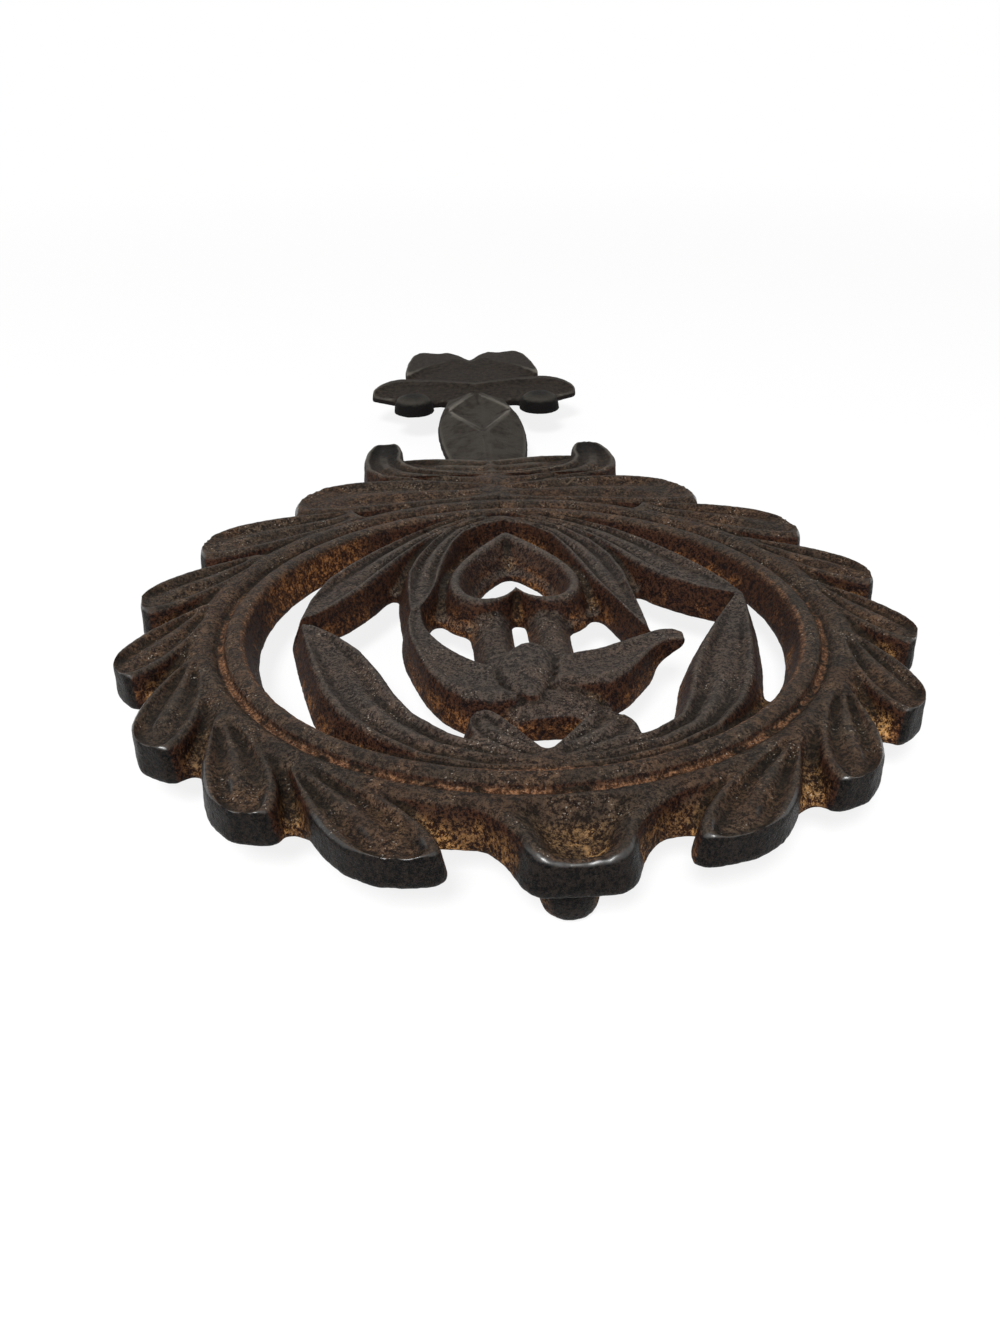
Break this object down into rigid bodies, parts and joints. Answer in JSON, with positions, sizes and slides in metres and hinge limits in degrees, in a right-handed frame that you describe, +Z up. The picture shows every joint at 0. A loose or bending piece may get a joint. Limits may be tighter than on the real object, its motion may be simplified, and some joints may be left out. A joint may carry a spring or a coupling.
{
  "type": "trivet",
  "caption": "Cast iron trivet: a round wreath of laurel leaves, a heart and a bird in openwork inside it, a short shaped handle at one side and low round feet.",
  "frame": {"origin": "centre of the bounding box in plan, on the surface that the feet stand on", "axes": "+Z up, +Y from the wreath towards the end of the handle, +X to the right of someone who looks along +Y"},
  "size_m": [0.132, 0.255, 0.013],
  "materials": {
    "wreath_iron": "dark seasoned iron, satin, brown rust in the hollows",
    "centre_iron": "dark iron with reddish brown rust on its walls",
    "handle_iron": "smoother grey brown iron, worn by the hand",
    "foot_iron": "near black iron",
    "backing_iron": "grainy iron with ochre brown rust"
  },
  "bodies": {
    "root": {"backing": "backing_iron", "bird_body": "centre_iron", "bird_tail": "centre_iron", "bird_wing_left": "centre_iron", "bird_wing_right": "centre_iron", "boss_left": "handle_iron", "boss_right": "handle_iron", "crown_leaf_left": "wreath_iron", "crown_leaf_right": "wreath_iron", "front_cup": "wreath_iron", "front_foot": "foot_iron", "handle_neck": "handle_iron", "heart": "centre_iron", "heart_leaf_left": "centre_iron", "heart_leaf_right": "centre_iron", "heart_tie_left": "centre_iron", "heart_tie_right": "centre_iron", "knob_leaf_left": "wreath_iron", "knob_leaf_right": "wreath_iron", "lower_leaf_left": "centre_iron", "lower_leaf_right": "centre_iron", "rear_foot_left": "foot_iron", "rear_foot_right": "foot_iron", "ring_band_left": "wreath_iron", "ring_band_right": "wreath_iron", "side_petal_left": "handle_iron", "side_petal_right": "handle_iron", "stem_left": "wreath_iron", "stem_right": "wreath_iron", "tip_leaf_left": "centre_iron", "tip_leaf_right": "centre_iron", "top_petal_left": "handle_iron", "top_petal_right": "handle_iron", "upper_leaf_left": "centre_iron", "upper_leaf_right": "centre_iron", "wreath_leaf_1_left": "wreath_iron", "wreath_leaf_1_right": "wreath_iron", "wreath_leaf_2_left": "wreath_iron", "wreath_leaf_2_right": "wreath_iron", "wreath_leaf_3_left": "wreath_iron", "wreath_leaf_3_right": "wreath_iron", "wreath_leaf_4_left": "wreath_iron", "wreath_leaf_4_right": "wreath_iron", "wreath_leaf_5_left": "wreath_iron", "wreath_leaf_5_right": "wreath_iron", "wreath_leaf_6_left": "wreath_iron", "wreath_leaf_6_right": "wreath_iron", "wreath_leaf_7_left": "wreath_iron", "wreath_leaf_7_right": "wreath_iron"}
  },
  "joints": []
}
